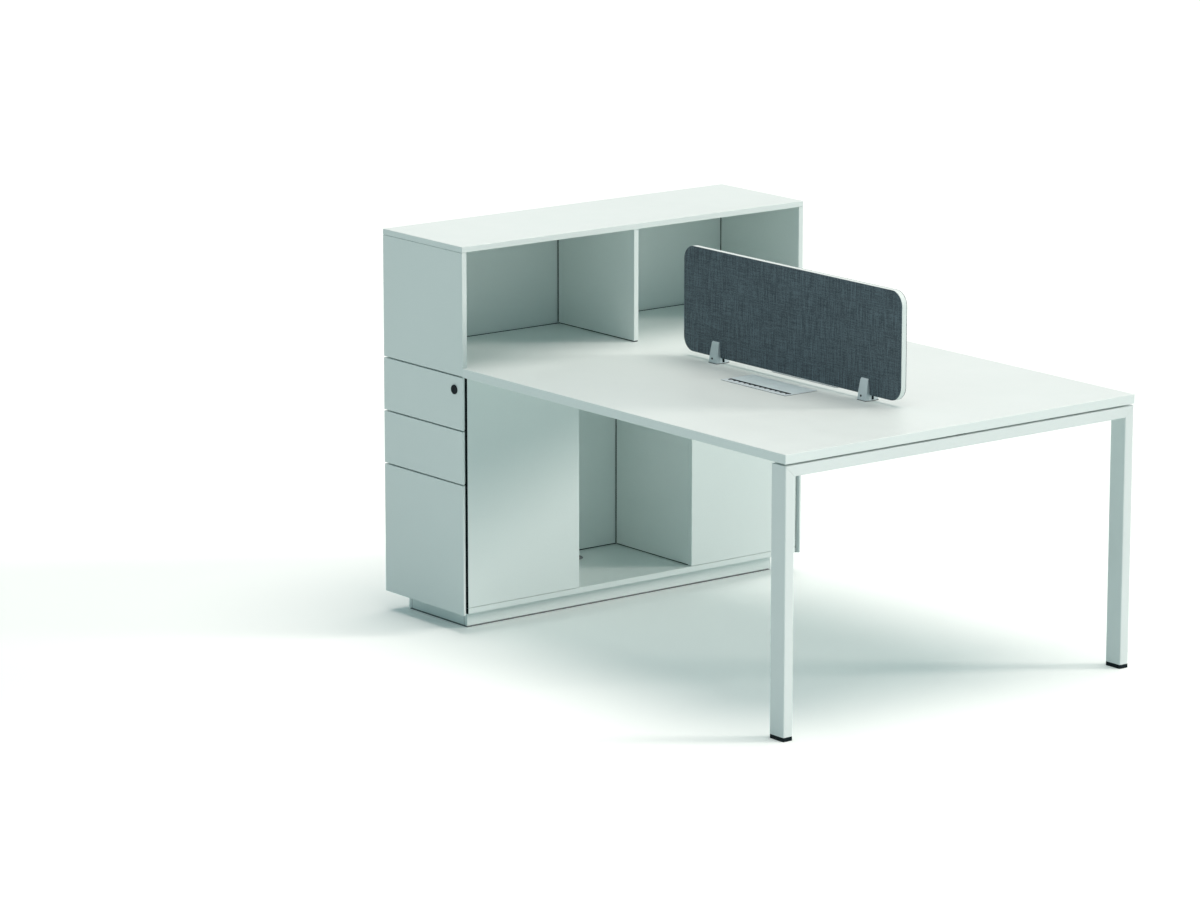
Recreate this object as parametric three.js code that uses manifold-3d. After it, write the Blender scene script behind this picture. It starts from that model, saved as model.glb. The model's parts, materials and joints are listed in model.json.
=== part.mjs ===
// Bench desk for two: a worktop on a drawer cabinet at one end and a leg frame at the other,
// with a fabric screen between the seats. Millimetres, +Z up, floor at Z = 0.
// The cabinet is at -X and the legs at +X. The near seat is at -Y and the far seat at +Y.

import * as THREE from 'three';
import { mergeVertices } from 'three/addons/utils/BufferGeometryUtils.js';
import Module from 'manifold-3d';

const wasm = await Module();
wasm.setup();

// Overall sizes
const DESK_WIDTH = 1200;
const CABINET_DEPTH = 365;
const TABLE_SPAN = 1360;
const DESK_HEIGHT = 745;
const HUTCH_HEIGHT = 1078;

// Boards. The reveal is the open joint that shows where boards meet in an inner corner
const WORKTOP_THICKNESS = 25;
const BOARD = 16;
const EASED_EDGE = 0.8;
const FIT = 0.3;
const REVEAL = 3;
const SEAT_SIDE_SETBACK = 2;
const SEAT_SIDE_FOOT_GAP = 1.2;
const SEAT_STRIP_INSET = 5;
const HUTCH_JOINT = 0.7;

// Plinth and floor of the cabinet
const PLINTH_HEIGHT = 57;
const PLINTH_FRONT_SETBACK = 64;
const PLINTH_BACK_SETBACK = 30;
const PLINTH_END_SETBACK = 58;
const SKID_HEIGHT = 5;
const SKID_SETBACK = 8;
const GROMMET_HOLE_RADIUS = 25;
const GROMMET_BORE_RADIUS = 22;
const GROMMET_RIM_RADIUS = 30;
const GROMMET_RIM_HEIGHT = 2;
const GROMMET_BACK_DISTANCE = 73;

// Open bay between the two pedestals, and the cable cut-out in its back
const BAY_WIDTH = 400;
const CUTOUT_WIDTH = 100;
const CUTOUT_SILL = 216;
const CUTOUT_CORNER = 4;

// Drawers
const FRONT_THICKNESS = 16;
const FRONT_GAP = 4;
const CARCASS_GAP = 1;
const SHALLOW_PITCH = 150;
const FILE_FRONT_FOOT = 55;
const FINGER_LIP = 5;
const FINGER_BEVEL = 11;
const BOX_BACK_CLEARANCE = 18;
const BOX_WALL = 12;
const BOX_FLOOR = 8;
const BOX_LIFT = 20;
const SHALLOW_BOX_HEIGHT = 105;
const FILE_BOX_HEIGHT = 260;

// Runners: a channel screwed to the carcass and a rail on the drawer box
const RUNNER_SPACE = 13;
const CHANNEL_WIDTH = 9;
const CHANNEL_WALL = 1.5;
const CHANNEL_FRONT_SETBACK = 4;
const RAIL_HEIGHT = 20;
const RAIL_HEAD_ROOM = 0.7;
const RAIL_WEB_GAP = 0.5;
const RAIL_LIFT = 25;
const WELD = 1;

// Locks
const LOCK_EDGE_DISTANCE = 36.5;
const LOCK_DROP = 38.5;
const LOCK_ROSE_RADIUS = 13;
const LOCK_ROSE_HEIGHT = 2.5;
const LOCK_BODY_RADIUS = 9;
const KEYWAY_LENGTH = 9;
const KEYWAY_WIDTH = 2;
const KEYWAY_DEPTH = 3;

// Leg frame, of one rectangular tube
const TUBE_WIDTH = 55;
const TUBE_HEIGHT = 30;
const TUBE_WALL = 2;
const TUBE_CORNER = 2.5;
const LEG_INSET = 1;
const SHADOW_GAP = 5;
const FOOT_HEIGHT = 11;
const FOOT_PLUG = 22;
const SPACER_LENGTH = 34;
const SPACER_WIDTH = 30;

// Rails under the worktop
const RAIL_TUBE_WIDTH = 40;
const RAIL_TUBE_HEIGHT = 25;
const RAIL_OFFSET = 380;
const RAIL_PLATE_THICKNESS = 4;
const RAIL_PLATE_WIDTH = 80;
const RAIL_PLATE_HEIGHT = 60;

// Screen
const SCREEN_LENGTH = 900;
const SCREEN_HEIGHT = 292;
const SCREEN_SHIFT = 10;
const SCREEN_LIFT = 16;
const SCREEN_CORE = 16;
const SCREEN_PAD = 1.3;
const SCREEN_CORNER = 40;
const BRACKET_OFFSET = 309;
const BRACKET_HEIGHT = 59;
const BRACKET_FOOT_WIDTH = 40;
const BRACKET_FRONT_WIDTH = 33;
const BRACKET_TOP_WIDTH = 29;
const BRACKET_FOOT_DEPTH = 44;
const BRACKET_CHEEK = 3.6;
const BRACKET_BEVEL = 2.6;
const BRACKET_BEVEL_HEIGHT = 4;
const BRACKET_SLOT = 4.4;
const BRACKET_BRIDGE = 3;
const BRACKET_SCREW_RADIUS = 2.5;
const BRACKET_SCREW_DEPTH = 8;
const BRACKET_SCREW_HEIGHT = 12;
const BRACKET_SCREW_OFFSET = 5;

// Power boxes
const POWER_LENGTH = 268;
const POWER_WIDTH = 111;
const POWER_SCREEN_DISTANCE = 33.5;
const POWER_RIM = 8;
const POWER_FRONT_RIM = 20;
const POWER_FLANGE = 1.5;
const POWER_WALL = 2.5;
const POWER_DEPTH = 72;
const POWER_CUT_CLEARANCE = 1.5;
const CABLE_SLIT = 9;
const COMB_BACK = 1.5;
const COMB_TOOTH_LENGTH = 3.5;
const COMB_TOOTH_PITCH = 21.5;
const COMB_TOOTH_WIDTH = 13.5;
const COMB_HEIGHT = 6;
const COMB_DROP = 0.3;
const LID_THICKNESS = 2.5;
const LID_CLEARANCE = 0.5;
const LID_PIVOT_SETBACK = 2.6;
const LID_TAIL = 1.6;
const PIN_RADIUS = 1;
const PIN_LENGTH = 1.8;
const PIN_CLEARANCE = 0.3;
const SOCKET_COUNT = 3;
const SOCKET_PITCH = 70;
const SOCKET_RADIUS = 20;
const SOCKET_RECESS = 9;
const SOCKET_PIN_RADIUS = 2.6;
const SOCKET_PIN_SPACING = 19;
const SOCKET_PIN_DEPTH = 8;
const SOCKET_BLOCK_WIDTH = 56;
const SOCKET_BLOCK_HEIGHT = 36;
const SOCKET_BLOCK_MARGIN = 20;

// Facets of round forms
const ROUND_SIDES = 32;
const SMALL_ROUND_SIDES = 12;
const CORNER_STEPS = 2;
const SCREEN_CORNER_STEPS = 12;

// Places that several pieces share
const DESK_LENGTH = CABINET_DEPTH + TABLE_SPAN;
const HALF_WIDTH = DESK_WIDTH / 2;
const TOP_UNDERSIDE = DESK_HEIGHT - WORKTOP_THICKNESS;
const FLOOR_TOP = PLINTH_HEIGHT + BOARD;
const INNER_END = HALF_WIDTH - FRONT_THICKNESS;
const CARCASS_END = INNER_END - CARCASS_GAP;
const SEAT_SIDE_FACE = CABINET_DEPTH - SEAT_SIDE_SETBACK;
const PEDESTAL_FRONT = SEAT_SIDE_FACE - BOARD;
const HUTCH_UNDERSIDE = HUTCH_HEIGHT - BOARD;
const BAY_HALF = BAY_WIDTH / 2;
const BOX_LENGTH = INNER_END - FIT - (BAY_HALF + BOARD) - BOX_BACK_CLEARANCE;
const TABLE_CENTRE = CABINET_DEPTH + TABLE_SPAN / 2;
const SCREEN_CENTRE = TABLE_CENTRE - SCREEN_SHIFT;
const SCREEN_HALF_THICKNESS = SCREEN_CORE / 2 + SCREEN_PAD;
const BEAM_TOP = TOP_UNDERSIDE - SHADOW_GAP;
const BEAM_UNDERSIDE = BEAM_TOP - TUBE_HEIGHT;
const LEG_FACE = DESK_LENGTH - LEG_INSET;
const LEG_BACK = LEG_FACE - TUBE_WIDTH;
const LEG_OUTER = HALF_WIDTH - LEG_INSET;
const LEG_INNER = LEG_OUTER - TUBE_HEIGHT;

const ENDS = [{ end: 'near', side: -1 }, { end: 'far', side: 1 }];

// Finishes
function finish(color, roughness, metalness) {
  return () => new THREE.MeshStandardMaterial({ color, roughness, metalness });
}
const whiteBoard = finish(0xe9eeec, 0.45, 0);
const whiteSteel = finish(0xeef2f0, 0.4, 0.1);
const blackPlastic = finish(0x17191a, 0.5, 0);
const zincSteel = finish(0xaeb3b5, 0.4, 0.9);
const castAluminium = finish(0x98a6a8, 0.4, 0.8);
const silverPlate = finish(0xb4bfc6, 0.4, 0.6);
const greyPlastic = finish(0x8b9396, 0.5, 0);
const drawerBoard = finish(0xd5d9d8, 0.5, 0);
const charcoalFabric = finish(0x3a4448, 0.95, 0);

// The desk is drawn from the back of the cabinet, then centred on its origin
const desk = new THREE.Group();
desk.position.x = -DESK_LENGTH / 2;
const model = new THREE.Group();
model.add(desk);

function addPiece(name, geometry, material) {
  const piece = new THREE.Mesh(geometry, material());
  piece.name = name;
  desk.add(piece);
}

// Solids for cutting and joining
function solidOf(geometry) {
  const bare = geometry.clone();
  bare.deleteAttribute('normal');
  bare.deleteAttribute('uv');
  const merged = mergeVertices(bare);
  return new wasm.Manifold(new wasm.Mesh({
    numProp: 3,
    vertProperties: Float32Array.from(merged.attributes.position.array),
    triVerts: Uint32Array.from(merged.index.array),
  }));
}

function geometryOf(solid) {
  const mesh = solid.getMesh();
  const geometry = new THREE.BufferGeometry();
  geometry.setAttribute('position', new THREE.BufferAttribute(mesh.vertProperties, 3));
  geometry.setIndex(new THREE.BufferAttribute(mesh.triVerts, 1));
  return geometry;
}

const join = (...geometries) => geometryOf(geometries.map(solidOf).reduce((a, b) => a.add(b)));
const cut = (body, ...tools) => geometryOf(
  tools.map(solidOf).reduce((a, b) => a.subtract(b), solidOf(body)));
const overlap = (a, b) => geometryOf(solidOf(a).intersect(solidOf(b)));

// Outlines
function rectangle(u0, v0, u1, v1, Kind = THREE.Shape) {
  return new Kind([[u0, v0], [u1, v0], [u1, v1], [u0, v1]].map(([u, v]) => new THREE.Vector2(u, v)));
}

function outline(points) {
  return new THREE.Shape(points.map(([u, v]) => new THREE.Vector2(u, v)));
}

function roundedRectangle(u0, v0, u1, v1, radius, Kind = THREE.Shape) {
  const path = new Kind();
  path.moveTo(u0 + radius, v0);
  path.lineTo(u1 - radius, v0);
  path.absarc(u1 - radius, v0 + radius, radius, -Math.PI / 2, 0);
  path.lineTo(u1, v1 - radius);
  path.absarc(u1 - radius, v1 - radius, radius, 0, Math.PI / 2);
  path.lineTo(u0 + radius, v1);
  path.absarc(u0 + radius, v1 - radius, radius, Math.PI / 2, Math.PI);
  path.lineTo(u0, v0 + radius);
  path.absarc(u0 + radius, v0 + radius, radius, Math.PI, 1.5 * Math.PI);
  return path;
}

function easedRectangle(u0, v0, u1, v1, edge) {
  return outline([
    [u0 + edge, v0], [u1 - edge, v0], [u1, v0 + edge], [u1, v1 - edge],
    [u1 - edge, v1], [u0 + edge, v1], [u0, v1 - edge], [u0, v0 + edge],
  ]);
}

// Extrusions: the outline lies in the plane of two axes and grows along the third
const PLANE_XY = new THREE.Matrix4();
const PLANE_YZ = new THREE.Matrix4().makeBasis(
  new THREE.Vector3(0, 1, 0), new THREE.Vector3(0, 0, 1), new THREE.Vector3(1, 0, 0));
const PLANE_ZX = new THREE.Matrix4().makeBasis(
  new THREE.Vector3(0, 0, 1), new THREE.Vector3(1, 0, 0), new THREE.Vector3(0, 1, 0));

// An arc of an outline is drawn in two steps for each curve segment
function extrude(shape, plane, from, to, arcSteps = CORNER_STEPS) {
  const geometry = new THREE.ExtrudeGeometry(shape, {
    depth: to - from,
    bevelEnabled: false,
    curveSegments: arcSteps / 2,
  });
  return geometry.translate(0, 0, from).applyMatrix4(plane);
}

function easedExtrude(shape, plane, from, to, arcSteps = CORNER_STEPS) {
  const geometry = new THREE.ExtrudeGeometry(shape, {
    depth: to - from - 2 * EASED_EDGE,
    bevelThickness: EASED_EDGE,
    bevelSize: EASED_EDGE,
    bevelOffset: -EASED_EDGE,
    bevelSegments: 1,
    curveSegments: arcSteps / 2,
  });
  return geometry.translate(0, 0, from + EASED_EDGE).applyMatrix4(plane);
}

// A board between two corners, with eased edges
function board([x0, y0, z0], [x1, y1, z1]) {
  const thin = Math.min(x1 - x0, y1 - y0, z1 - z0);
  if (thin === x1 - x0) {
    return easedExtrude(easedRectangle(y0, z0, y1, z1, EASED_EDGE), PLANE_YZ, x0, x1);
  }
  if (thin === y1 - y0) {
    return easedExtrude(easedRectangle(z0, x0, z1, x1, EASED_EDGE), PLANE_ZX, y0, y1);
  }
  return easedExtrude(easedRectangle(x0, y0, x1, y1, EASED_EDGE), PLANE_XY, z0, z1);
}

function block([x0, y0, z0], [x1, y1, z1]) {
  return new THREE.BoxGeometry(x1 - x0, y1 - y0, z1 - z0)
    .translate((x0 + x1) / 2, (y0 + y1) / 2, (z0 + z1) / 2);
}

// The two corners of a span on either side of the desk, lowest first
function spanY(side, inner, outer) {
  return [Math.min(side * inner, side * outer), Math.max(side * inner, side * outer)];
}

function rod(radius, from, to, sides, plane, u, v) {
  const circle = new THREE.Shape();
  circle.absarc(u, v, radius, 0, 2 * Math.PI);
  return extrude(circle, plane, from, to, sides);
}

function tubeOutline(u0, v0, u1, v1) {
  const shape = roundedRectangle(u0, v0, u1, v1, TUBE_CORNER);
  const wall = TUBE_WALL;
  shape.holes.push(rectangle(u0 + wall, v0 + wall, u1 - wall, v1 - wall, THREE.Path));
  return shape;
}

// Ring of the plinth boards, its outside set in by a given amount
function plinthOutline(setIn) {
  const x0 = PLINTH_BACK_SETBACK;
  const x1 = CABINET_DEPTH - PLINTH_FRONT_SETBACK;
  const half = HALF_WIDTH - PLINTH_END_SETBACK;
  const ring = rectangle(x0 + setIn, -half + setIn, x1 - setIn, half - setIn);
  ring.holes.push(rectangle(x0 + BOARD, -half + BOARD, x1 - BOARD, half - BOARD, THREE.Path));
  return ring;
}

// Cabinet
function addCabinet() {
  const boards = extrude(plinthOutline(0), PLANE_XY, SKID_HEIGHT, PLINTH_HEIGHT - FIT);
  const skids = extrude(plinthOutline(SKID_SETBACK), PLANE_XY, 0, SKID_HEIGHT + WELD);
  addPiece('plinth', join(boards, skids), whiteBoard);

  const floor = easedRectangle(0, -CARCASS_END, SEAT_SIDE_FACE, CARCASS_END, EASED_EDGE);
  const cableHole = new THREE.Path();
  cableHole.absarc(GROMMET_BACK_DISTANCE, 0, GROMMET_HOLE_RADIUS, 0, 2 * Math.PI);
  floor.holes.push(cableHole);
  const floorBoard = easedExtrude(floor, PLANE_XY, PLINTH_HEIGHT, FLOOR_TOP, ROUND_SIDES);
  addPiece('bottom_board', floorBoard, whiteBoard);

  const backHalf = INNER_END - FIT;
  const back = easedRectangle(
    -backHalf, FLOOR_TOP + REVEAL, backHalf, HUTCH_UNDERSIDE - FIT, EASED_EDGE);
  back.holes.push(roundedRectangle(
    -CUTOUT_WIDTH / 2, CUTOUT_SILL, CUTOUT_WIDTH / 2, TOP_UNDERSIDE, CUTOUT_CORNER, THREE.Path));
  addPiece('back_panel', easedExtrude(back, PLANE_YZ, 0, BOARD), whiteBoard);

  for (const { end, side } of ENDS) {
    const [wall0, wall1] = spanY(side, BAY_HALF, BAY_HALF + BOARD);
    const wall = board([BOARD + REVEAL, wall0, FLOOR_TOP + REVEAL],
      [PEDESTAL_FRONT - FIT, wall1, TOP_UNDERSIDE - FIT]);
    addPiece(`partition_${end}`, wall, whiteBoard);
    const [panel0, panel1] = spanY(side, BAY_HALF, CARCASS_END);
    const panel = board([PEDESTAL_FRONT, panel0, FLOOR_TOP + SEAT_SIDE_FOOT_GAP],
      [SEAT_SIDE_FACE, panel1, TOP_UNDERSIDE - FIT]);
    const strip = block([PEDESTAL_FRONT + SEAT_STRIP_INSET, panel0 + SEAT_STRIP_INSET, FLOOR_TOP + FIT],
      [SEAT_SIDE_FACE - SEAT_STRIP_INSET, panel1 - SEAT_STRIP_INSET, FLOOR_TOP + SEAT_SIDE_FOOT_GAP + WELD]);
    addPiece(`pedestal_side_${end}`, join(panel, strip), whiteBoard);
  }

  const sleeve = GROMMET_HOLE_RADIUS - FIT;
  const bore = GROMMET_BORE_RADIUS;
  const rim = FLOOR_TOP + FIT;
  const profile = [
    [bore, PLINTH_HEIGHT], [sleeve, PLINTH_HEIGHT], [sleeve, rim], [GROMMET_RIM_RADIUS, rim],
    [GROMMET_RIM_RADIUS - GROMMET_RIM_HEIGHT, rim + GROMMET_RIM_HEIGHT], [bore, rim + GROMMET_RIM_HEIGHT],
    [bore, PLINTH_HEIGHT],
  ].map(([radius, height]) => new THREE.Vector2(radius, height));
  const ring = new THREE.LatheGeometry(profile, ROUND_SIDES).rotateX(Math.PI / 2);
  addPiece('floor_grommet', ring.translate(GROMMET_BACK_DISTANCE, 0, 0), greyPlastic);
}

// Hutch over the cabinet
function addHutch() {
  for (const { end, side } of ENDS) {
    const [end0, end1] = spanY(side, INNER_END, HALF_WIDTH);
    const panel = board([0, end0, TOP_UNDERSIDE + FRONT_GAP / 2],
      [CABINET_DEPTH, end1, HUTCH_UNDERSIDE - HUTCH_JOINT]);
    addPiece(`hutch_end_${end}`, panel, whiteBoard);
  }
  const divider = board([BOARD + REVEAL, -BOARD / 2, DESK_HEIGHT + REVEAL],
    [SEAT_SIDE_FACE, BOARD / 2, HUTCH_UNDERSIDE - FIT]);
  addPiece('hutch_divider', divider, whiteBoard);
  const top = board([0, -HALF_WIDTH, HUTCH_UNDERSIDE], [CABINET_DEPTH, HALF_WIDTH, HUTCH_HEIGHT]);
  addPiece('hutch_top', top, whiteBoard);
}

// Sizes that the power boxes and their cut-outs share
const POWER_X0 = TABLE_CENTRE - POWER_LENGTH / 2;
const POWER_X1 = TABLE_CENTRE + POWER_LENGTH / 2;
const WELL_X0 = POWER_X0 + POWER_RIM;
const WELL_X1 = POWER_X1 - POWER_RIM;
const WELL_INNER = POWER_SCREEN_DISTANCE + POWER_RIM;
const WELL_OUTER = POWER_SCREEN_DISTANCE + POWER_WIDTH - POWER_FRONT_RIM;
const WELL_FLOOR = DESK_HEIGHT - POWER_DEPTH;
const FLANGE_FOOT = DESK_HEIGHT + FIT;
const FLANGE_TOP = FLANGE_FOOT + POWER_FLANGE;

// Worktop: its tongue runs between the hutch ends as the floor of the hutch
function addWorktop() {
  const shoulder = CABINET_DEPTH + FIT;
  const tongue = INNER_END - FIT;
  const tongueBack = BOARD + REVEAL;
  const slab = outline([
    [tongueBack, -tongue], [shoulder, -tongue], [shoulder, -HALF_WIDTH], [DESK_LENGTH, -HALF_WIDTH],
    [DESK_LENGTH, HALF_WIDTH], [shoulder, HALF_WIDTH], [shoulder, tongue], [tongueBack, tongue],
  ]);
  const margin = POWER_WALL + POWER_CUT_CLEARANCE;
  for (const { side } of ENDS) {
    const [cut0, cut1] = spanY(side, WELL_INNER - margin, WELL_OUTER + margin);
    slab.holes.push(rectangle(WELL_X0 - margin, cut0, WELL_X1 + margin, cut1, THREE.Path));
  }
  addPiece('worktop', easedExtrude(slab, PLANE_XY, TOP_UNDERSIDE, DESK_HEIGHT), whiteBoard);
}

// Leg frame: one tube size, mitred at the corners
function addLegFrame() {
  const mitreGap = FIT / 2;
  const beamTube = tubeOutline(BEAM_UNDERSIDE, LEG_BACK, BEAM_TOP, LEG_FACE);
  let beam = solidOf(extrude(beamTube, PLANE_ZX, -LEG_OUTER, LEG_OUTER));
  for (const { end, side } of ENDS) {
    const [leg0, leg1] = spanY(side, LEG_INNER, LEG_OUTER);
    const tube = extrude(tubeOutline(LEG_BACK, leg0, LEG_FACE, leg1), PLANE_XY, FOOT_HEIGHT, BEAM_TOP);
    const toLeg = new THREE.Vector3(0, side, -1).normalize();
    const mitre = toLeg.dot(new THREE.Vector3(0, side * LEG_INNER, BEAM_UNDERSIDE));
    const leg = solidOf(tube).trimByPlane(toLeg.toArray(), mitre + mitreGap);
    addPiece(`leg_${end}`, geometryOf(leg), whiteSteel);
    beam = beam.trimByPlane(toLeg.clone().negate().toArray(), -mitre + mitreGap);

    const plug = TUBE_WALL + FIT;
    const sole = roundedRectangle(LEG_BACK, leg0, LEG_FACE, leg1, TUBE_CORNER);
    const pad = extrude(sole, PLANE_XY, 0, FOOT_HEIGHT - FIT);
    const stem = block([LEG_BACK + plug, leg0 + plug, FOOT_HEIGHT - FIT - WELD],
      [LEG_FACE - plug, leg1 - plug, FOOT_HEIGHT + FOOT_PLUG]);
    addPiece(`foot_${end}`, join(pad, stem), blackPlastic);

    const railTop = TOP_UNDERSIDE - FIT;
    const railMiddle = side * RAIL_OFFSET;
    const rail0 = railMiddle - RAIL_TUBE_WIDTH / 2;
    const rail1 = railMiddle + RAIL_TUBE_WIDTH / 2;
    const railFoot = SEAT_SIDE_FACE + FIT;
    const rail = extrude(tubeOutline(rail0, railTop - RAIL_TUBE_HEIGHT, rail1, railTop), PLANE_YZ,
      railFoot + RAIL_PLATE_THICKNESS - WELD, LEG_BACK - FIT);
    const plate = block([railFoot, railMiddle - RAIL_PLATE_WIDTH / 2, railTop - RAIL_PLATE_HEIGHT],
      [railFoot + RAIL_PLATE_THICKNESS, railMiddle + RAIL_PLATE_WIDTH / 2, railTop]);
    addPiece(`rail_${end}`, join(rail, plate), whiteSteel);
  }
  addPiece('cross_beam', geometryOf(beam), whiteSteel);

  const middle = (LEG_BACK + LEG_FACE) / 2;
  addPiece('top_spacer',
    block([middle - SPACER_WIDTH / 2, -SPACER_LENGTH / 2, BEAM_TOP + FIT],
      [middle + SPACER_WIDTH / 2, SPACER_LENGTH / 2, TOP_UNDERSIDE - FIT]), blackPlastic);
}

// Screen between the seats, held over the worktop by two wedge clamps
function addScreen() {
  const foot = DESK_HEIGHT + SCREEN_LIFT;
  const x0 = SCREEN_CENTRE - SCREEN_LENGTH / 2;
  const x1 = SCREEN_CENTRE + SCREEN_LENGTH / 2;
  const face = roundedRectangle(foot, x0, foot + SCREEN_HEIGHT, x1, SCREEN_CORNER);
  const coreFace = SCREEN_CORE / 2;
  const core = easedExtrude(face, PLANE_ZX, -coreFace, coreFace, SCREEN_CORNER_STEPS);
  addPiece('screen_core', core, whiteBoard);
  for (const { end, side } of ENDS) {
    const [pad0, pad1] = spanY(side, coreFace + FIT, SCREEN_HALF_THICKNESS);
    const pad = extrude(face, PLANE_ZX, pad0, pad1, SCREEN_CORNER_STEPS);
    addPiece(`screen_pad_${end}`, pad, charcoalFabric);
  }

  const base = DESK_HEIGHT + FIT;
  const top = DESK_HEIGHT + BRACKET_HEIGHT;
  const seat = foot - FIT;
  const slot = SCREEN_HALF_THICKNESS + FIT;
  const cheekTop = slot + BRACKET_CHEEK;
  const cheekFoot = BRACKET_FOOT_DEPTH / 2;
  const split = BRACKET_SLOT / 2;
  const halfSection = [
    [cheekFoot, base], [cheekTop, top - BRACKET_BEVEL_HEIGHT], [cheekTop - BRACKET_BEVEL, top],
    [slot, top], [slot, seat], [split, seat], [split, base + BRACKET_BRIDGE],
  ];
  const section = outline([...halfSection, ...halfSection.map(([y, z]) => [-y, z]).reverse()]);
  for (const [name, offset] of [['left', -BRACKET_OFFSET], ['right', BRACKET_OFFSET]]) {
    const centre = SCREEN_CENTRE + offset;
    const halfFoot = BRACKET_FOOT_WIDTH / 2;
    const halfFront = BRACKET_FRONT_WIDTH / 2;
    const halfTop = BRACKET_TOP_WIDTH / 2;
    const frontView = outline([
      [base, centre - halfFoot], [base, centre + halfFoot],
      [top, centre + halfTop], [top, centre - halfTop],
    ]);
    const plan = outline([
      [centre - halfFront, -cheekFoot], [centre + halfFront, -cheekFoot],
      [centre + halfFoot, -slot], [centre + halfFoot, slot],
      [centre + halfFront, cheekFoot], [centre - halfFront, cheekFoot],
      [centre - halfFoot, slot], [centre - halfFoot, -slot],
    ]);
    const wedge = overlap(
      extrude(section, PLANE_YZ, centre - halfFoot, centre + halfFoot),
      extrude(frontView, PLANE_ZX, -cheekFoot, cheekFoot));
    const clamp = overlap(wedge, extrude(plan, PLANE_XY, base, top));
    const screwHoles = ENDS.map(({ side }) => {
      const [hole0, hole1] = spanY(side, cheekFoot - BRACKET_SCREW_DEPTH, cheekFoot);
      return rod(BRACKET_SCREW_RADIUS, hole0, hole1, SMALL_ROUND_SIDES, PLANE_ZX,
        DESK_HEIGHT + BRACKET_SCREW_HEIGHT, centre - BRACKET_SCREW_OFFSET);
    });
    addPiece(`screen_bracket_${name}`, cut(clamp, ...screwHoles), castAluminium);
  }
}

// Power box of one seat: a flanged well in the worktop, a hinged lid, a cable comb and sockets
function addPowerBox({ end, side }) {
  const [flange0, flange1] = spanY(side, POWER_SCREEN_DISTANCE, POWER_SCREEN_DISTANCE + POWER_WIDTH);
  const [well0, well1] = spanY(side, WELL_INNER, WELL_OUTER);
  const wall = POWER_WALL;
  const pivotY = side * (WELL_INNER + LID_PIVOT_SETBACK);
  const pivotZ = FLANGE_TOP - LID_THICKNESS / 2;
  const flange = block([POWER_X0, flange0, FLANGE_FOOT], [POWER_X1, flange1, FLANGE_TOP]);
  const shell = block([WELL_X0 - wall, well0 - wall, WELL_FLOOR],
    [WELL_X1 + wall, well1 + wall, FLANGE_FOOT + WELD]);
  const hollow = block([WELL_X0, well0, WELL_FLOOR + wall], [WELL_X1, well1, FLANGE_TOP + WELD]);
  const pinHole = rod(PIN_RADIUS + PIN_CLEARANCE, WELL_X0 - PIN_LENGTH - PIN_CLEARANCE,
    WELL_X1 + PIN_LENGTH + PIN_CLEARANCE, SMALL_ROUND_SIDES, PLANE_YZ, pivotY, pivotZ);
  addPiece(`power_box_${end}`, cut(join(flange, shell), hollow, pinHole), silverPlate);

  const tail = WELL_INNER + LID_PIVOT_SETBACK - LID_TAIL;
  const [lid0, lid1] = spanY(side, tail, WELL_OUTER - CABLE_SLIT);
  const plate = block([WELL_X0 + LID_CLEARANCE, lid0, FLANGE_TOP - LID_THICKNESS],
    [WELL_X1 - LID_CLEARANCE, lid1, FLANGE_TOP]);
  const pin = rod(PIN_RADIUS, WELL_X0 - PIN_LENGTH, WELL_X1 + PIN_LENGTH,
    SMALL_ROUND_SIDES, PLANE_YZ, pivotY, pivotZ);
  addPiece(`power_lid_${end}`, join(plate, pin), silverPlate);

  addPiece(`cable_comb_${end}`, combGeometry(side), silverPlate);

  const blockFoot = WELL_FLOOR + wall + FIT;
  const blockTop = blockFoot + SOCKET_BLOCK_HEIGHT;
  const middle = (well0 + well1) / 2;
  const body = block(
    [WELL_X0 + SOCKET_BLOCK_MARGIN, middle - SOCKET_BLOCK_WIDTH / 2, blockFoot],
    [WELL_X1 - SOCKET_BLOCK_MARGIN, middle + SOCKET_BLOCK_WIDTH / 2, blockTop]);
  const recesses = [];
  for (let i = 0; i < SOCKET_COUNT; i += 1) {
    const x = TABLE_CENTRE + (i - (SOCKET_COUNT - 1) / 2) * SOCKET_PITCH;
    const recessFloor = blockTop - SOCKET_RECESS;
    recesses.push(rod(SOCKET_RADIUS, recessFloor, blockTop + WELD, ROUND_SIDES, PLANE_XY, x, middle));
    for (const hand of [-1, 1]) {
      const pinX = x + hand * SOCKET_PIN_SPACING / 2;
      recesses.push(rod(SOCKET_PIN_RADIUS, recessFloor - SOCKET_PIN_DEPTH, recessFloor + WELD,
        SMALL_ROUND_SIDES, PLANE_XY, pinX, middle));
    }
  }
  addPiece(`socket_block_${end}`, cut(body, ...recesses), greyPlastic);
}

// Toothed strip along the wall of the well, beside the cable slit
function combGeometry(side) {
  const x0 = WELL_X0 + LID_CLEARANCE;
  const x1 = WELL_X1 - LID_CLEARANCE;
  const back = side * (WELL_OUTER - FIT);
  const root = side * (WELL_OUTER - FIT - COMB_BACK);
  const tip = side * (WELL_OUTER - FIT - COMB_BACK - COMB_TOOTH_LENGTH);
  const count = Math.floor((x1 - x0) / COMB_TOOTH_PITCH);
  const first = (x0 + x1 - (count - 1) * COMB_TOOTH_PITCH) / 2;
  const points = [[x0, root], [x0, back], [x1, back], [x1, root]];
  for (let i = count - 1; i >= 0; i -= 1) {
    const middle = first + i * COMB_TOOTH_PITCH;
    const right = middle + COMB_TOOTH_WIDTH / 2;
    const left = middle - COMB_TOOTH_WIDTH / 2;
    points.push([right, root], [right, tip], [left, tip], [left, root]);
  }
  const top = FLANGE_TOP - COMB_DROP;
  return extrude(outline(points), PLANE_XY, top - COMB_HEIGHT, top);
}

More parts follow.
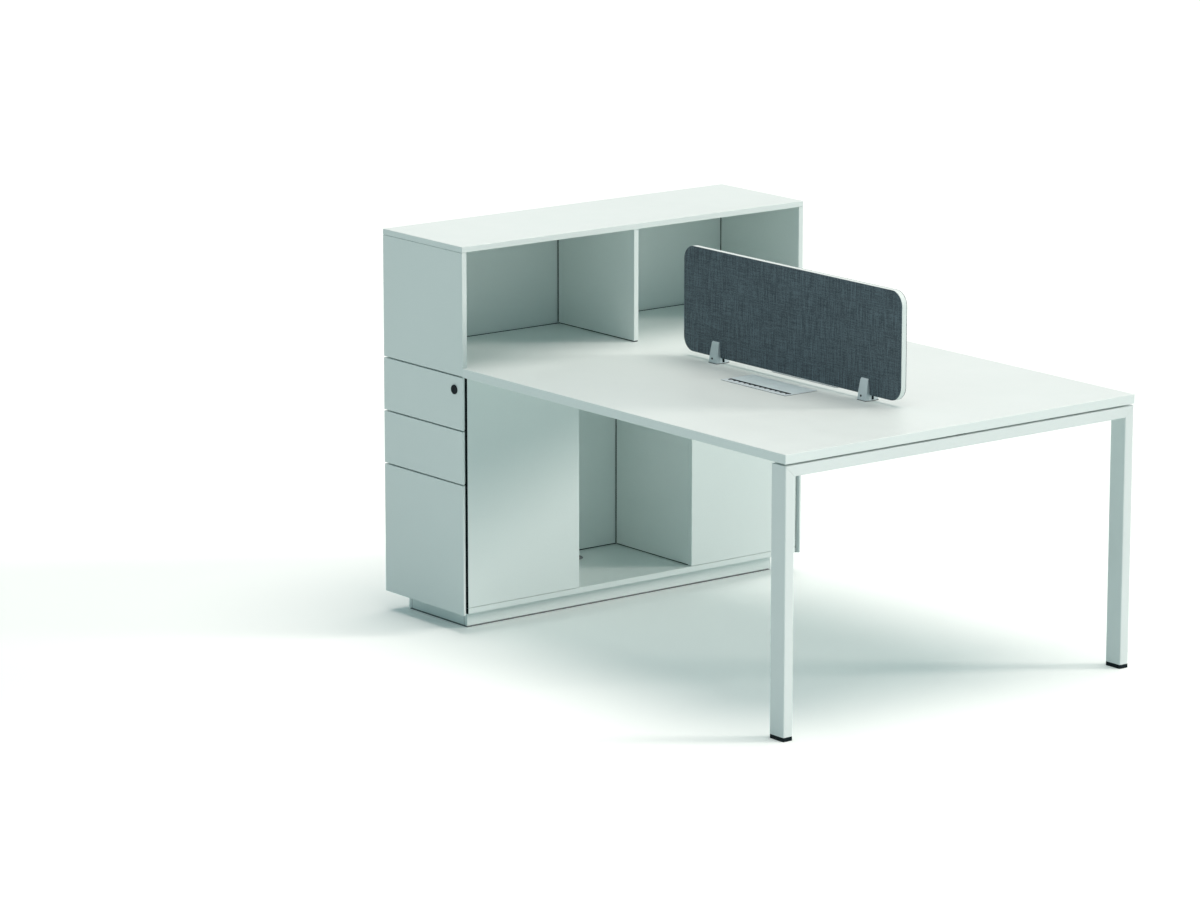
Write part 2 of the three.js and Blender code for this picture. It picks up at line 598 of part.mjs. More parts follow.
// Drawer kinds, from the top down: the lines above and below each front, and its box
const HALF_GAP = FRONT_GAP / 2;
const LINE_TOP = TOP_UNDERSIDE;
const LINE_UPPER = LINE_TOP - SHALLOW_PITCH;
const LINE_LOWER = LINE_UPPER - SHALLOW_PITCH;
const DRAWERS = [
  { kind: 'pen', foot: LINE_UPPER + HALF_GAP, head: LINE_TOP - HALF_GAP, boxHeight: SHALLOW_BOX_HEIGHT },
  { kind: 'box', foot: LINE_LOWER + HALF_GAP, head: LINE_UPPER - HALF_GAP, boxHeight: SHALLOW_BOX_HEIGHT },
  { kind: 'file', foot: FILE_FRONT_FOOT, head: LINE_LOWER - HALF_GAP, boxHeight: FILE_BOX_HEIGHT },
];
const BOX_X0 = BOARD + RUNNER_SPACE;
const BOX_X1 = PEDESTAL_FRONT - RUNNER_SPACE;
const LOCK_X = CABINET_DEPTH - LOCK_EDGE_DISTANCE;
const LOCK_Z = LINE_TOP - LOCK_DROP;

function addDrawer({ kind, foot, head, boxHeight }, { end, side }) {
  const face = side * HALF_WIDTH;
  const rear = side * INNER_END;
  const lip = side * (HALF_WIDTH - FINGER_LIP);
  const section = outline([
    [0, face], [CABINET_DEPTH, face], [CABINET_DEPTH, lip], [CABINET_DEPTH - FINGER_BEVEL, rear], [0, rear],
  ]);
  let front = easedExtrude(section, PLANE_XY, foot, head);
  if (kind === 'pen') {
    const lockHole = rod(LOCK_BODY_RADIUS + FIT, -HALF_WIDTH - WELD, HALF_WIDTH + WELD,
      ROUND_SIDES, PLANE_ZX, LOCK_Z, LOCK_X);
    front = cut(front, lockHole);
  }
  addPiece(`${kind}_front_${end}`, front, whiteBoard);

  const [box0, box1] = spanY(side, INNER_END - FIT - BOX_LENGTH, INNER_END - FIT);
  const boxFoot = foot + BOX_LIFT;
  const railFoot = boxFoot + RAIL_LIFT;
  const railHead = railFoot + RAIL_HEIGHT;
  const tray = block([BOX_X0, box0, boxFoot], [BOX_X1, box1, boxFoot + boxHeight]);
  const hollow = block([BOX_X0 + BOX_WALL, box0 + BOX_WALL, boxFoot + BOX_FLOOR],
    [BOX_X1 - BOX_WALL, box1 - BOX_WALL, boxFoot + boxHeight + WELD]);
  const railTip = BOARD + FIT + CHANNEL_WALL + RAIL_WEB_GAP;
  const railTipFront = PEDESTAL_FRONT - FIT - CHANNEL_WALL - RAIL_WEB_GAP;
  const rails = block([railTip, box0, railFoot], [railTipFront, box1, railHead]);
  addPiece(`${kind}_drawer_${end}`, cut(join(tray, rails), hollow), drawerBoard);

  const runFront = INNER_END - CHANNEL_FRONT_SETBACK;
  const [run0, run1] = spanY(side, runFront - BOX_LENGTH, runFront);
  const inside0 = railFoot - FIT;
  const inside1 = railHead + RAIL_HEAD_ROOM;
  for (const [place, wallFace, inward] of [['back', BOARD + FIT, 1], ['seat', PEDESTAL_FRONT - FIT, -1]]) {
    const web = wallFace + inward * CHANNEL_WALL;
    const tip = wallFace + inward * CHANNEL_WIDTH;
    const channel = outline([
      [inside0 - CHANNEL_WALL, wallFace], [inside1 + CHANNEL_WALL, wallFace], [inside1 + CHANNEL_WALL, tip],
      [inside1, tip], [inside1, web], [inside0, web], [inside0, tip], [inside0 - CHANNEL_WALL, tip],
    ]);
    addPiece(`${kind}_runner_${place}_${end}`, extrude(channel, PLANE_ZX, run0, run1), zincSteel);
  }
}

// Lock barrel with its rose and keyway
function addLock({ end, side }) {
  const [body0, body1] = spanY(side, INNER_END, HALF_WIDTH + FIT + WELD);
  const [rose0, rose1] = spanY(side, HALF_WIDTH + FIT, HALF_WIDTH + FIT + LOCK_ROSE_HEIGHT);
  const face = HALF_WIDTH + FIT + LOCK_ROSE_HEIGHT;
  const [key0, key1] = spanY(side, face - KEYWAY_DEPTH, face + WELD);
  const body = rod(LOCK_BODY_RADIUS, body0, body1, ROUND_SIDES, PLANE_ZX, LOCK_Z, LOCK_X);
  const rose = rod(LOCK_ROSE_RADIUS, rose0, rose1, ROUND_SIDES, PLANE_ZX, LOCK_Z, LOCK_X);
  const keyway = block([LOCK_X - KEYWAY_WIDTH / 2, key0, LOCK_Z - KEYWAY_LENGTH / 2],
    [LOCK_X + KEYWAY_WIDTH / 2, key1, LOCK_Z + KEYWAY_LENGTH / 2]);
  addPiece(`lock_${end}`, cut(join(body, rose), keyway), blackPlastic);
}

addCabinet();
addHutch();
addWorktop();
addLegFrame();
addScreen();
for (const seat of ENDS) {
  addPowerBox(seat);
  for (const drawer of DRAWERS) {
    addDrawer(drawer, seat);
  }
  addLock(seat);
}

export default model;
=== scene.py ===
import json
import math

import bmesh
import bpy
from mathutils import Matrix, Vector


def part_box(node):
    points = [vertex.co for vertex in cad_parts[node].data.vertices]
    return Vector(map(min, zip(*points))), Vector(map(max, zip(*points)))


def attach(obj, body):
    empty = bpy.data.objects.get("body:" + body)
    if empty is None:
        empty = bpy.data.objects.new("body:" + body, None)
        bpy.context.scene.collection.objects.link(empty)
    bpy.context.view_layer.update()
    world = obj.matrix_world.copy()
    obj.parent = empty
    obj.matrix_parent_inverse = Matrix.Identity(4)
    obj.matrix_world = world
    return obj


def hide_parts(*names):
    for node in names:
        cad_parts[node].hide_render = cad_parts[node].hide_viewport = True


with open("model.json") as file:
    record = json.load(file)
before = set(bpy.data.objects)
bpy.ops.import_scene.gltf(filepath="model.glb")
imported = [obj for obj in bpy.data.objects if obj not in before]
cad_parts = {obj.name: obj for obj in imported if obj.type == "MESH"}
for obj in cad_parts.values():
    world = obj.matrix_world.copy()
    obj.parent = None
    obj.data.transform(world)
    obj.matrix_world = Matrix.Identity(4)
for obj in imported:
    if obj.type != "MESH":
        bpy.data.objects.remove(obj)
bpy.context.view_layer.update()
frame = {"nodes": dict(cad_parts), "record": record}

# Bench desk for two: finishes, screen fabric, thin trim, black strips of painted shade in the
# joints, small fasteners, studio light and camera.
# Metres, in the frame of the imported desk: the cabinet at -X, the legs at +X, the near seat at -Y.

# The two ends of the desk, one for each seat, and the way along Y to each of them
ENDS = (("near", -1), ("far", 1))

# Camera of the photograph
CAMERA_PLACE = Vector((10.4210, -8.6268, 3.5270))
CAMERA_YAW = math.radians(142.1061)
CAMERA_PITCH = math.radians(12.5165)
CAMERA_LENS = 153.515
CAMERA_SENSOR = 36.0
CAMERA_RANGE = 200.0

# Light: an even bluish sky, a low warm key lamp from the far right and a wide top lamp
SKY_COLOUR = (0.205, 0.287, 0.310, 1)
SKY_SEEN = (1, 1, 1, 1)
LAMP_STRENGTH = math.pi
KEY_COLOUR = (0.691, 0.606, 0.577)
KEY_FROM = Vector((0.567, 0.780, 0.266))
KEY_SOFTNESS = math.radians(14)
TOP_COLOUR = (0.750, 0.655, 0.616)
TOP_FROM = Vector((0.08, 0.12, 0.98))
TOP_SOFTNESS = math.radians(50)

# Floor: its colour where it is seen, its colour for the light it throws back, and a faint glow
FLOOR_SIZE = 60.0
FLOOR_SEEN = (0.94, 1.0, 0.98, 1)
FLOOR_BOUNCE = (0.74, 0.84, 0.84, 1)
FLOOR_GLOW = 0.06

# Finishes, as linear colours
WHITE = (1, 1, 1)
BOARD_WHITE = (0.700, 0.795, 0.775)
# Painted light: the worktop white is a lighter copy of the board white, brightened where its light
# falls short
LIT_WORKTOP_WHITE = (0.735, 0.825, 0.805)
# Painted light: the plinth white is a lighter copy of the board white, brightening the plinth's
# shaded faces
LIT_PLINTH_WHITE = (0.765, 0.870, 0.850)
DRAWER_GREY = (0.66, 0.68, 0.67)
STEEL_WHITE = (0.705, 0.785, 0.770)
FABRIC_DARK = (0.036, 0.058, 0.073)
FABRIC_LIGHT = (0.121, 0.174, 0.203)
CASTING_GREY = (0.535, 0.635, 0.66)
PLATE_SILVER = (0.80, 0.92, 0.95)
# Painted light: the lid silver is a lighter copy of the plate silver, brightening the lids in the
# screen's shade
LIT_LID_SILVER = (0.79, 0.95, 0.97)
ZINC_GREY = (0.55, 0.57, 0.58)
PLASTIC_BLACK = (0.008, 0.015, 0.018)
PLASTIC_GREY = (0.24, 0.26, 0.27)
OXIDE_BLACK = (0.03, 0.032, 0.034)

# Anodised plate: how metallic it is, its least and greatest roughness, and its grain along X
PLATE_METALLIC = 0.15
PLATE_ROUGHNESS = (0.40, 0.50)
PLATE_GRAIN = (60, 1500, 1500)

# Height under which the power boxes are black, in the lower half of the flange's edge; that edge's
# black is painted shade, a dark line along the flange
BLACK_WELL_AND_EDGE_SHADE_LINE = 0.7460

# Linen: the scales and shares of its slub threads and its grain, and the pitch of the weave
WEFT_SCALES = (18, 12, 420)
WEFT_SHARE = 0.28
WARP_SCALES = (430, 12, 16)
WARP_SHARE = 0.44
GRAIN_SCALE = 300
GRAIN_SHARE = 0.28
THREAD_PITCH = 0.0012

# Sockets of the Mix node for colours, whose names it also uses for other kinds
MIX_FACTOR, MIX_FIRST, MIX_SECOND, MIX_RESULT = 0, 6, 7, 2

# Middle part of a noise, where nearly all of its values lie
NOISE_LOW = 0.25
NOISE_HIGH = 0.75

# Fabric faces of the screen
ROLL_RADIUS = 0.0007
ROLL_STEPS = 5
TUCK = 0.0003
CROWN = 0.0001
CROWN_INSETS = (0.008, 0.025, 0.060)
SCREEN_CORNER = 0.040
CORNER_STEPS = 10

# Painted shade: black ribbed strips in the joints of the boards, thin strips in the corners of the
# hutch and linings behind the drawer fronts
TAPE_RIBS = 4
TAPE_RIB_DIP = 0.12
TAPE_RECESS = 0.0015
TAPE_LIP = 0.0012
TAPE_SIDE_GAP = 0.0002
CORNER_SHADE_WIDTH = 0.0024
SHADE_LINING_THICKNESS = 0.0006

# Grey glides under the plinth, their grey also painted shade along its foot, and the lines of
# painted shade at the joints on its ends
GLIDE_HEIGHT = 0.0024
GLIDE_REACH = 0.0078
PLINTH_BOARD = 0.0130
PLINTH_JOINT = 0.0008
PLINTH_JOINT_FOOT = 0.0040
PLINTH_JOINT_CLEARANCE = 0.0001
PLINTH_JOINT_REACH = 0.0004

# Brushes over the cable slits
BRUSH_CLEARANCE = 0.0006
BRUSH_LIFT = 0.0002
BRUSH_HEIGHT = 0.0006
TUFT_COUNT = 12
TUFT_PITCH = 0.0215
TUFT_WIDTH = 0.0075
TUFT_TAPER = 0.0015
TUFT_LENGTH = 0.0060

# Black rubber round the clamps of the screen and in the slots of their feet, which is also painted
# shade at the feet and in the slots
CLAMP_FRONT_SHARE = 0.825
CLAMP_LEAN = 0.0932
GASKET_REACH = 0.0009
GASKET_HEIGHT = 0.0011
RUBBER_CLEARANCE = 0.0001
SLOT_BRIDGE = 0.0033
SLOT_HEADROOM = 0.00095
SLOT_STEM = 0.0019
SLOT_STEM_DEPTH = 0.0040
SLOT_LIP = 0.0034
SLOT_LIP_THICKNESS = 0.0007

# Screw heads: their sides, the share of the radius in the rim, and the depth and fit of the socket
SCREW_SIDES = 24
SCREW_RIM_SHARE = 0.16
SOCKET_DEPTH_SHARE = 0.6
SOCKET_FIT = 0.98

# Black button screws on the faces of the clamps
BUTTON_RADIUS = 0.0032
BUTTON_HEIGHT = 0.0015
BUTTON_KEY_RADIUS = 0.00125
BUTTON_DEPTH = 0.0025
BUTTON_OFFSET = 0.005
BUTTON_LEVEL = 0.012

# Pan-head screws on the end plates of the rails
PAN_RADIUS = 0.0048
PAN_HEIGHT = 0.0024
PAN_DOME = 0.0004
PAN_KEY_RADIUS = 0.00125
PAN_INSET = 0.011
RAIL_PLATE_THICKNESS = 0.004
RAIL_PLATE_HALF = 0.040
RAIL_PLATE_HEIGHT = 0.060


def scaled(colour, share):
    return tuple(share * value for value in colour)


class Finish:
    """A procedural material: noise, ramps and bumps that feed its principled shader."""

    def __init__(self, name):
        self.material = bpy.data.materials.new(name)
        self.material.use_nodes = True
        self.tree = self.material.node_tree
        self.shader = self.tree.nodes["Principled BSDF"]
        self.place = self.node("ShaderNodeTexCoord").outputs["Object"]

    def node(self, kind, **settings):
        made = self.tree.nodes.new(kind)
        for name, value in settings.items():
            setattr(made, name, value)
        return made

    def feed(self, node, socket, value):
        """Links another node's output to a socket, or sets a plain value on it."""
        if isinstance(value, bpy.types.NodeSocket):
            self.tree.links.new(value, node.inputs[socket])
        else:
            node.inputs[socket].default_value = value

    def shade(self, socket, value):
        self.feed(self.shader, socket, value)

    def along(self, axis):
        axes = self.node("ShaderNodeSeparateXYZ")
        self.feed(axes, "Vector", self.place)
        return axes.outputs[axis]

    def noise(self, scale, detail=2.0, place=None):
        texture = self.node("ShaderNodeTexNoise")
        self.feed(texture, "Vector", self.place if place is None else place)
        self.feed(texture, "Scale", scale)
        self.feed(texture, "Detail", detail)
        return texture.outputs["Fac"]

    def streaks(self, scales, detail=2.0):
        """Noise with a scale of its own along each axis."""
        mapping = self.node("ShaderNodeMapping")
        self.feed(mapping, "Vector", self.place)
        self.feed(mapping, "Scale", scales)
        return self.noise(1.0, detail, mapping.outputs["Vector"])

    def cells(self, scale):
        texture = self.node("ShaderNodeTexVoronoi")
        self.feed(texture, "Vector", self.place)
        self.feed(texture, "Scale", scale)
        return texture.outputs["Color"]

    def ramp(self, factor, low, high, start=0.3, end=0.7):
        made = self.node("ShaderNodeValToRGB")
        first, last = made.color_ramp.elements
        first.position, first.color = start, (*low, 1)
        last.position, last.color = end, (*high, 1)
        self.feed(made, "Fac", factor)
        return made.outputs["Color"]

    def spread(self, factor, low, high):
        """The middle part of a noise, spread over a range."""
        made = self.node("ShaderNodeMapRange")
        self.feed(made, "Value", factor)
        self.feed(made, "From Min", NOISE_LOW)
        self.feed(made, "From Max", NOISE_HIGH)
        self.feed(made, "To Min", low)
        self.feed(made, "To Max", high)
        return made.outputs["Result"]

    def compute(self, operation, first, second=0.0):
        made = self.node("ShaderNodeMath", operation=operation)
        self.feed(made, 0, first)
        self.feed(made, 1, second)
        return made.outputs["Value"]

    def mix(self, first, second, factor=1.0, blend_type="MIX"):
        made = self.node("ShaderNodeMix", data_type="RGBA", blend_type=blend_type)
        self.feed(made, MIX_FACTOR, factor)
        self.feed(made, MIX_FIRST, first)
        self.feed(made, MIX_SECOND, second)
        return made.outputs[MIX_RESULT]

    def bump(self, height, strength, distance, below=None):
        made = self.node("ShaderNodeBump")
        self.feed(made, "Strength", strength)
        self.feed(made, "Distance", distance)
        self.feed(made, "Height", height)
        if below is not None:
            self.feed(made, "Normal", below)
        return made.outputs["Normal"]


def melamine(name, colour):
    """Melamine-faced board: a faint cloud, fine specks and a pearl grain."""
    finish = Finish(name)
    cloud = finish.ramp(finish.noise(2.5), scaled(colour, 0.975), colour)
    dust = finish.noise(1100, detail=1.0)
    specks = finish.ramp(dust, scaled(WHITE, 0.97), WHITE, start=0.35, end=0.5)
    pearl = finish.noise(900, detail=3.0)
    finish.shade("Base Color", finish.mix(cloud, specks, blend_type="MULTIPLY"))
    finish.shade("Roughness", finish.spread(finish.noise(14), 0.40, 0.50))
    finish.shade("Normal", finish.bump(pearl, strength=0.10, distance=0.0002))
    return finish.material


def powder_coat(name, colour):
    """Powder-coated steel: orange peel with a slight sheen."""
    finish = Finish(name)
    peel = finish.bump(finish.noise(450, detail=1.0), strength=0.18, distance=0.0004)
    powder = finish.noise(1800, detail=2.0)
    finish.shade("Base Color", finish.ramp(finish.noise(6), scaled(colour, 0.97), colour))
    finish.shade("Roughness", finish.spread(finish.noise(40), 0.32, 0.44))
    finish.shade("Normal", finish.bump(powder, strength=0.08, distance=0.0001, below=peel))
    return finish.material


def linen(name):
    """Charcoal linen: slub threads along and up the screen over a plain weave."""
    finish = Finish(name)
    weft = finish.compute("MULTIPLY", finish.streaks(WEFT_SCALES, detail=3.0), WEFT_SHARE)
    warp = finish.compute("MULTIPLY", finish.streaks(WARP_SCALES, detail=3.0), WARP_SHARE)
    grain = finish.compute("MULTIPLY", finish.noise(GRAIN_SCALE, detail=1.0), GRAIN_SHARE)
    slubs = finish.compute("ADD", finish.compute("ADD", weft, warp), grain)
    threads = finish.ramp(slubs, FABRIC_DARK, FABRIC_LIGHT, start=0.435, end=0.575)
    cloud = finish.ramp(finish.noise(5), scaled(WHITE, 0.9), WHITE)
    waves = []
    for axis in ("X", "Z"):
        turn = finish.compute("MULTIPLY", finish.along(axis), 2 * math.pi / THREAD_PITCH)
        waves.append(finish.compute("SINE", turn))
    weave = finish.bump(finish.compute("MULTIPLY", *waves), strength=0.5, distance=0.0002)
    finish.shade("Base Color", finish.mix(threads, cloud, blend_type="MULTIPLY"))
    finish.shade("Roughness", 0.95)
    finish.shade("Sheen Weight", 0.12)
    finish.shade("Sheen Roughness", 0.5)
    finish.shade("Normal", finish.bump(slubs, strength=0.6, distance=0.0008, below=weave))
    return finish.material


def satin_metal(name, colour, metallic=PLATE_METALLIC, roughness=PLATE_ROUGHNESS,
                grain=PLATE_GRAIN):
    """Anodised, cast or blackened metal: cloudy colour, uneven gloss and a fine grain."""
    finish = Finish(name)
    cloud = finish.noise(30, detail=3.0)
    finish.shade("Base Color", finish.ramp(cloud, scaled(colour, 0.92), colour))
    finish.shade("Metallic", metallic)
    finish.shade("Roughness", finish.spread(finish.noise(120), *roughness))
    finish.shade("Normal", finish.bump(finish.streaks(grain), strength=0.10, distance=0.0002))
    return finish.material


def flanged_box(name):
    """Anodised flange over a well that is black inside and out, as are the flange's lower edges,
    whose black is painted shade.
    """
    finish = Finish(name)
    cloud = finish.noise(30, detail=3.0)
    plate = finish.ramp(cloud, scaled(PLATE_SILVER, 0.92), PLATE_SILVER)
    paint = finish.ramp(finish.noise(60), scaled(PLASTIC_BLACK, 0.85), PLASTIC_BLACK)
    # Black below this height; on the flange's edge it is painted shade
    under = finish.compute("LESS_THAN", finish.along("Z"), BLACK_WELL_AND_EDGE_SHADE_LINE)
    grain = finish.streaks(PLATE_GRAIN)
    finish.shade("Base Color", finish.mix(plate, paint, factor=under))
    finish.shade("Metallic", PLATE_METALLIC)
    finish.shade("Roughness", finish.spread(finish.noise(120), *PLATE_ROUGHNESS))
    finish.shade("Normal", finish.bump(grain, strength=0.10, distance=0.0002))
    return finish.material


def zinc(name):
    """Zinc-plated steel: small spangles of differing gloss."""
    finish = Finish(name)
    spangle = finish.cells(160)
    finish.shade("Base Color", finish.ramp(spangle, scaled(ZINC_GREY, 0.85), ZINC_GREY))
    finish.shade("Metallic", 1.0)
    finish.shade("Roughness", finish.spread(spangle, 0.28, 0.42))
    finish.shade("Normal", finish.bump(finish.noise(500), strength=0.06, distance=0.0002))
    return finish.material


def moulded(name, colour, roughness):
    """Moulded plastic: spark-eroded grain with slightly worn gloss."""
    finish = Finish(name)
    worn = finish.spread(finish.noise(90), roughness - 0.06, roughness + 0.08)
    sparks = finish.noise(1500, detail=3.0)
    tint = finish.ramp(finish.noise(60), scaled(colour, 0.85), scaled(colour, 1.1))
    finish.shade("Base Color", tint)
    finish.shade("Roughness", worn)
    finish.shade("Specular IOR Level", 0.06)
    finish.shade("Normal", finish.bump(sparks, strength=0.25, distance=0.0002))
    return finish.material


# Finish of each material slot, of the nodes that differ from their slot, and of the clamp screws
FINISHES = {
    "white_board": melamine("white_melamine", BOARD_WHITE),
    "drawer_board": melamine("grey_melamine", DRAWER_GREY),
    "white_steel": powder_coat("white_powder_coat", STEEL_WHITE),
    "charcoal_fabric": linen("charcoal_linen"),
    "cast_aluminium": satin_metal(
        "cast_aluminium", CASTING_GREY, metallic=0.4, roughness=(0.40, 0.52),
        grain=(400, 400, 400)),
    "silver_plate": satin_metal("anodised_plate", PLATE_SILVER),
    "zinc_steel": zinc("zinc_plate"),
    "black_plastic": moulded("black_plastic", PLASTIC_BLACK, roughness=0.5),
    "grey_plastic": moulded("grey_plastic", PLASTIC_GREY, roughness=0.45),
}
# The lids get a lighter, lit copy of the anodised plate: painted light
LID = satin_metal("anodised_lid_lit", LIT_LID_SILVER)
FLANGED_BOX = flanged_box("flanged_power_box")
NODE_FINISHES = {
    # The worktop gets a lighter, lit copy of the white melamine: painted light
    "worktop": melamine("worktop_melamine_lit", LIT_WORKTOP_WHITE),
    # The plinth gets a lighter, lit copy of the white melamine: painted light
    "plinth": melamine("plinth_melamine_lit", LIT_PLINTH_WHITE),
    "power_lid_near": LID,
    "power_lid_far": LID,
    "power_box_near": FLANGED_BOX,
    "power_box_far": FLANGED_BOX,
}
OXIDE = satin_metal(
    "black_oxide_steel", OXIDE_BLACK, metallic=0.8, roughness=(0.35, 0.5), grain=(900, 900, 900))


def dress_nodes():
    """Gives every CAD node its own finish or that of its material slot."""
    for part in frame["record"]["subparts"]:
        materials = frame["nodes"][part["node"]].data.materials
        materials.clear()
        materials.append(NODE_FINISHES.get(part["node"], FINISHES[part["material_slot"]]))


def skin(name, loops, closed=False):
    """A solid through loops of equally many points, capped at its ends or closed into a ring."""
    build = bmesh.new()
    rings = [[build.verts.new(point) for point in loop] for loop in loops]
    following = rings[1:] + rings[:1] if closed else rings[1:]
    for first, second in zip(rings, following):
        for i in range(len(first)):
            j = (i + 1) % len(first)
            build.faces.new((first[i], first[j], second[j], second[i]))
    if not closed:
        build.faces.new(rings[0])
        build.faces.new(rings[-1])
    bmesh.ops.recalc_face_normals(build, faces=build.faces)
    mesh = bpy.data.meshes.new(name)
    build.to_mesh(mesh)
    build.free()
    return mesh


def new_piece(name, mesh, slot, finish=None, place=None, facing=None):
    """A piece on the fixed body, in its slot's finish, modelled in place or turned from +Z."""
    mesh.materials.append(finish or FINISHES[slot])
    piece = bpy.data.objects.new(name, mesh)
    if facing is not None:
        piece.location = place
        piece.rotation_mode = "QUATERNION"
        piece.rotation_quaternion = Vector(facing).to_track_quat("Z", "Y")
    bpy.context.scene.collection.objects.link(piece)
    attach(piece, "desk")
    return piece


def face_towards(side, box):
    """Where a box ends along Y, towards the near seat (-1) or the far one (1)."""
    low, high = box
    return high.y if side > 0 else low.y


def rounded_outline(low, high, radius):
    """Points round a rectangle with round corners, anticlockwise from the lower right corner."""
    points = []
    corners = (
        (high.x - radius, low.z + radius, -90), (high.x - radius, high.z - radius, 0),
        (low.x + radius, high.z - radius, 90), (low.x + radius, low.z + radius, 180),
    )
    for x, z, start in corners:
        for step in range(CORNER_STEPS + 1):
            angle = math.radians(start + 90 * step / CORNER_STEPS)
            points.append((x + radius * math.cos(angle), z + radius * math.sin(angle)))
    return points


def fabric_face(end, side):
    """The fabric on one side of the screen, rolled over its edge and tucked against the core."""
    node = f"screen_pad_{end}"
    low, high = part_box(node)
    back = face_towards(-side, (low, high))
    depth = high.y - low.y
    profile = [(TUCK, 0.0), (0.0, depth - ROLL_RADIUS)]
    for step in range(1, ROLL_STEPS + 1):
        angle = math.pi / 2 * step / ROLL_STEPS
        inset = ROLL_RADIUS * (1 - math.cos(angle))
        profile.append((inset, depth - ROLL_RADIUS * (1 - math.sin(angle))))
    for step, inset in enumerate(CROWN_INSETS, 1):
        profile.append((inset, depth + CROWN * step / len(CROWN_INSETS)))
    loops = []
    for inset, height in profile:
        shrink = Vector((inset, 0, inset))
        radius = max(SCREEN_CORNER - inset, TUCK)
        outline = rounded_outline(low + shrink, high - shrink, radius)
        loops.append([(x, back + side * height, z) for x, z in outline])
    mesh = skin(f"screen_fabric_{end}", loops)
    for face in mesh.polygons:
        is_cap = len(face.vertices) > 4
        face.use_smooth = not is_cap
    piece = new_piece(f"screen_fabric_{end}", mesh, "charcoal_fabric")
    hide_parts(node)


def tape(name, corner, opposite, slot="black_plastic"):
    """A strip between two opposite corners: a bar along its longest side with ribbed long faces."""
    low, high = (Vector(map(pick, corner, opposite)) for pick in (min, max))
    sizes = high - low
    along, across, thick = sorted(range(3), key=lambda axis: -sizes[axis])
    steps = 2 * TAPE_RIBS
    lower = [(step / steps, 0.0 if step % 2 else TAPE_RIB_DIP) for step in range(steps + 1)]
    upper = [(share, 1 - dip) for share, dip in reversed(lower)]
    loops = []
    for place in (low[along], high[along]):
        loop = []
        for share, depth in lower + upper:
            point = Vector()
            point[along] = place
            point[across] = low[across] + share * sizes[across]
            point[thick] = low[thick] + depth * sizes[thick]
            loop.append(point)
        loops.append(loop)
    new_piece(name, skin(name, loops), slot)


def edge_shade_strip(name, box, joint):
    """A black strip of painted shade in the joint behind a board, with a lip past each of the
    board's faces.
    """
    low, high = box
    tape(name, (joint[0], low.y - TAPE_LIP, low.z + TAPE_RECESS),
         (joint[1], high.y + TAPE_LIP, high.z - TAPE_RECESS))


def foot_shade_strip(name, box, ground):
    """A black strip of painted shade in the joint between a board's foot and what it stands on."""
    low, high = box
    tape(name, (low.x + TAPE_RECESS, low.y + TAPE_RECESS, ground + TAPE_SIDE_GAP),
         (high.x - TAPE_RECESS, high.y - TAPE_RECESS, low.z - TAPE_SIDE_GAP))


def joint_shade_strips():
    """Black strips of painted shade in the joints of the boards and behind the drawer fronts, which
    show there as dark lines.
    """
    gap = TAPE_SIDE_GAP
    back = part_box("back_panel")
    back_low, back_high = back
    floor_low, floor_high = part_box("bottom_board")
    top_low, top_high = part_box("worktop")
    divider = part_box("hutch_divider")
    joint = (back_high.x + gap, divider[0].x - gap)
    edge_shade_strip("divider_back_shade_strip", divider, joint)
    foot_shade_strip("divider_foot_tape", divider, top_high.z)
    tape("worktop_back_shade_strip", (joint[0], back_low.y + TAPE_RECESS, top_low.z + TAPE_RECESS),
         (joint[1], back_high.y - TAPE_RECESS, top_high.z + TAPE_LIP))
    foot_shade_strip("back_foot_tape", back, floor_high.z)
    for end, side in ENDS:
        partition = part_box(f"partition_{end}")
        edge_shade_strip(f"partition_back_shade_strip_{end}", partition, joint)
        foot_shade_strip(f"partition_foot_tape_{end}", partition, floor_high.z)
        # A thin black strip in each back corner of the hutch: painted shade along that corner
        inner = face_towards(-side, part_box(f"hutch_end_{end}")) - side * gap
        tape(f"hutch_corner_shade_strip_{end}", (joint[0], inner, top_high.z + TAPE_LIP + gap),
             (joint[0] + CORNER_SHADE_WIDTH, inner - side * TAPE_LIP, back_high.z - TAPE_RECESS))
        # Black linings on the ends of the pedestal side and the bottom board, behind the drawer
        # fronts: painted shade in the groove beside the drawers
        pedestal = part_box(f"pedestal_side_{end}")
        low, high = pedestal
        face = face_towards(side, pedestal)
        for name, foot, head in (("side", low.z, high.z), ("floor", floor_low.z, floor_high.z)):
            tape(f"{name}_shade_lining_{end}", (low.x + gap, face, foot + gap),
                 (high.x - gap, face + side * SHADE_LINING_THICKNESS, head - gap))


def plinth_glides_and_foot_shade():
    """Grey glide strips on the floor, in the recess round the foot of the plinth; their grey is
    also painted shade along the plinth's foot.
    """
    low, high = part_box("plinth")
    foot, head = low.z + TAPE_SIDE_GAP, low.z + GLIDE_HEIGHT
    outer, inner = (
        (low.x + inset, low.y + inset, high.x - inset, high.y - inset)
        for inset in (TAPE_RECESS, GLIDE_REACH)
    )
    back, near, front, far = outer
    inner_back, inner_near, inner_front, inner_far = inner
    strips = (
        ("back", (back, near), (inner_back, far)),
        ("front", (inner_front, near), (front, far)),
        ("near", (inner_back, near), (inner_front, inner_near)),
        ("far", (inner_back, inner_far), (inner_front, far)),
    )
    for name, corner, opposite in strips:
        tape(f"plinth_glide_{name}", (*corner, foot), (*opposite, head), "grey_plastic")


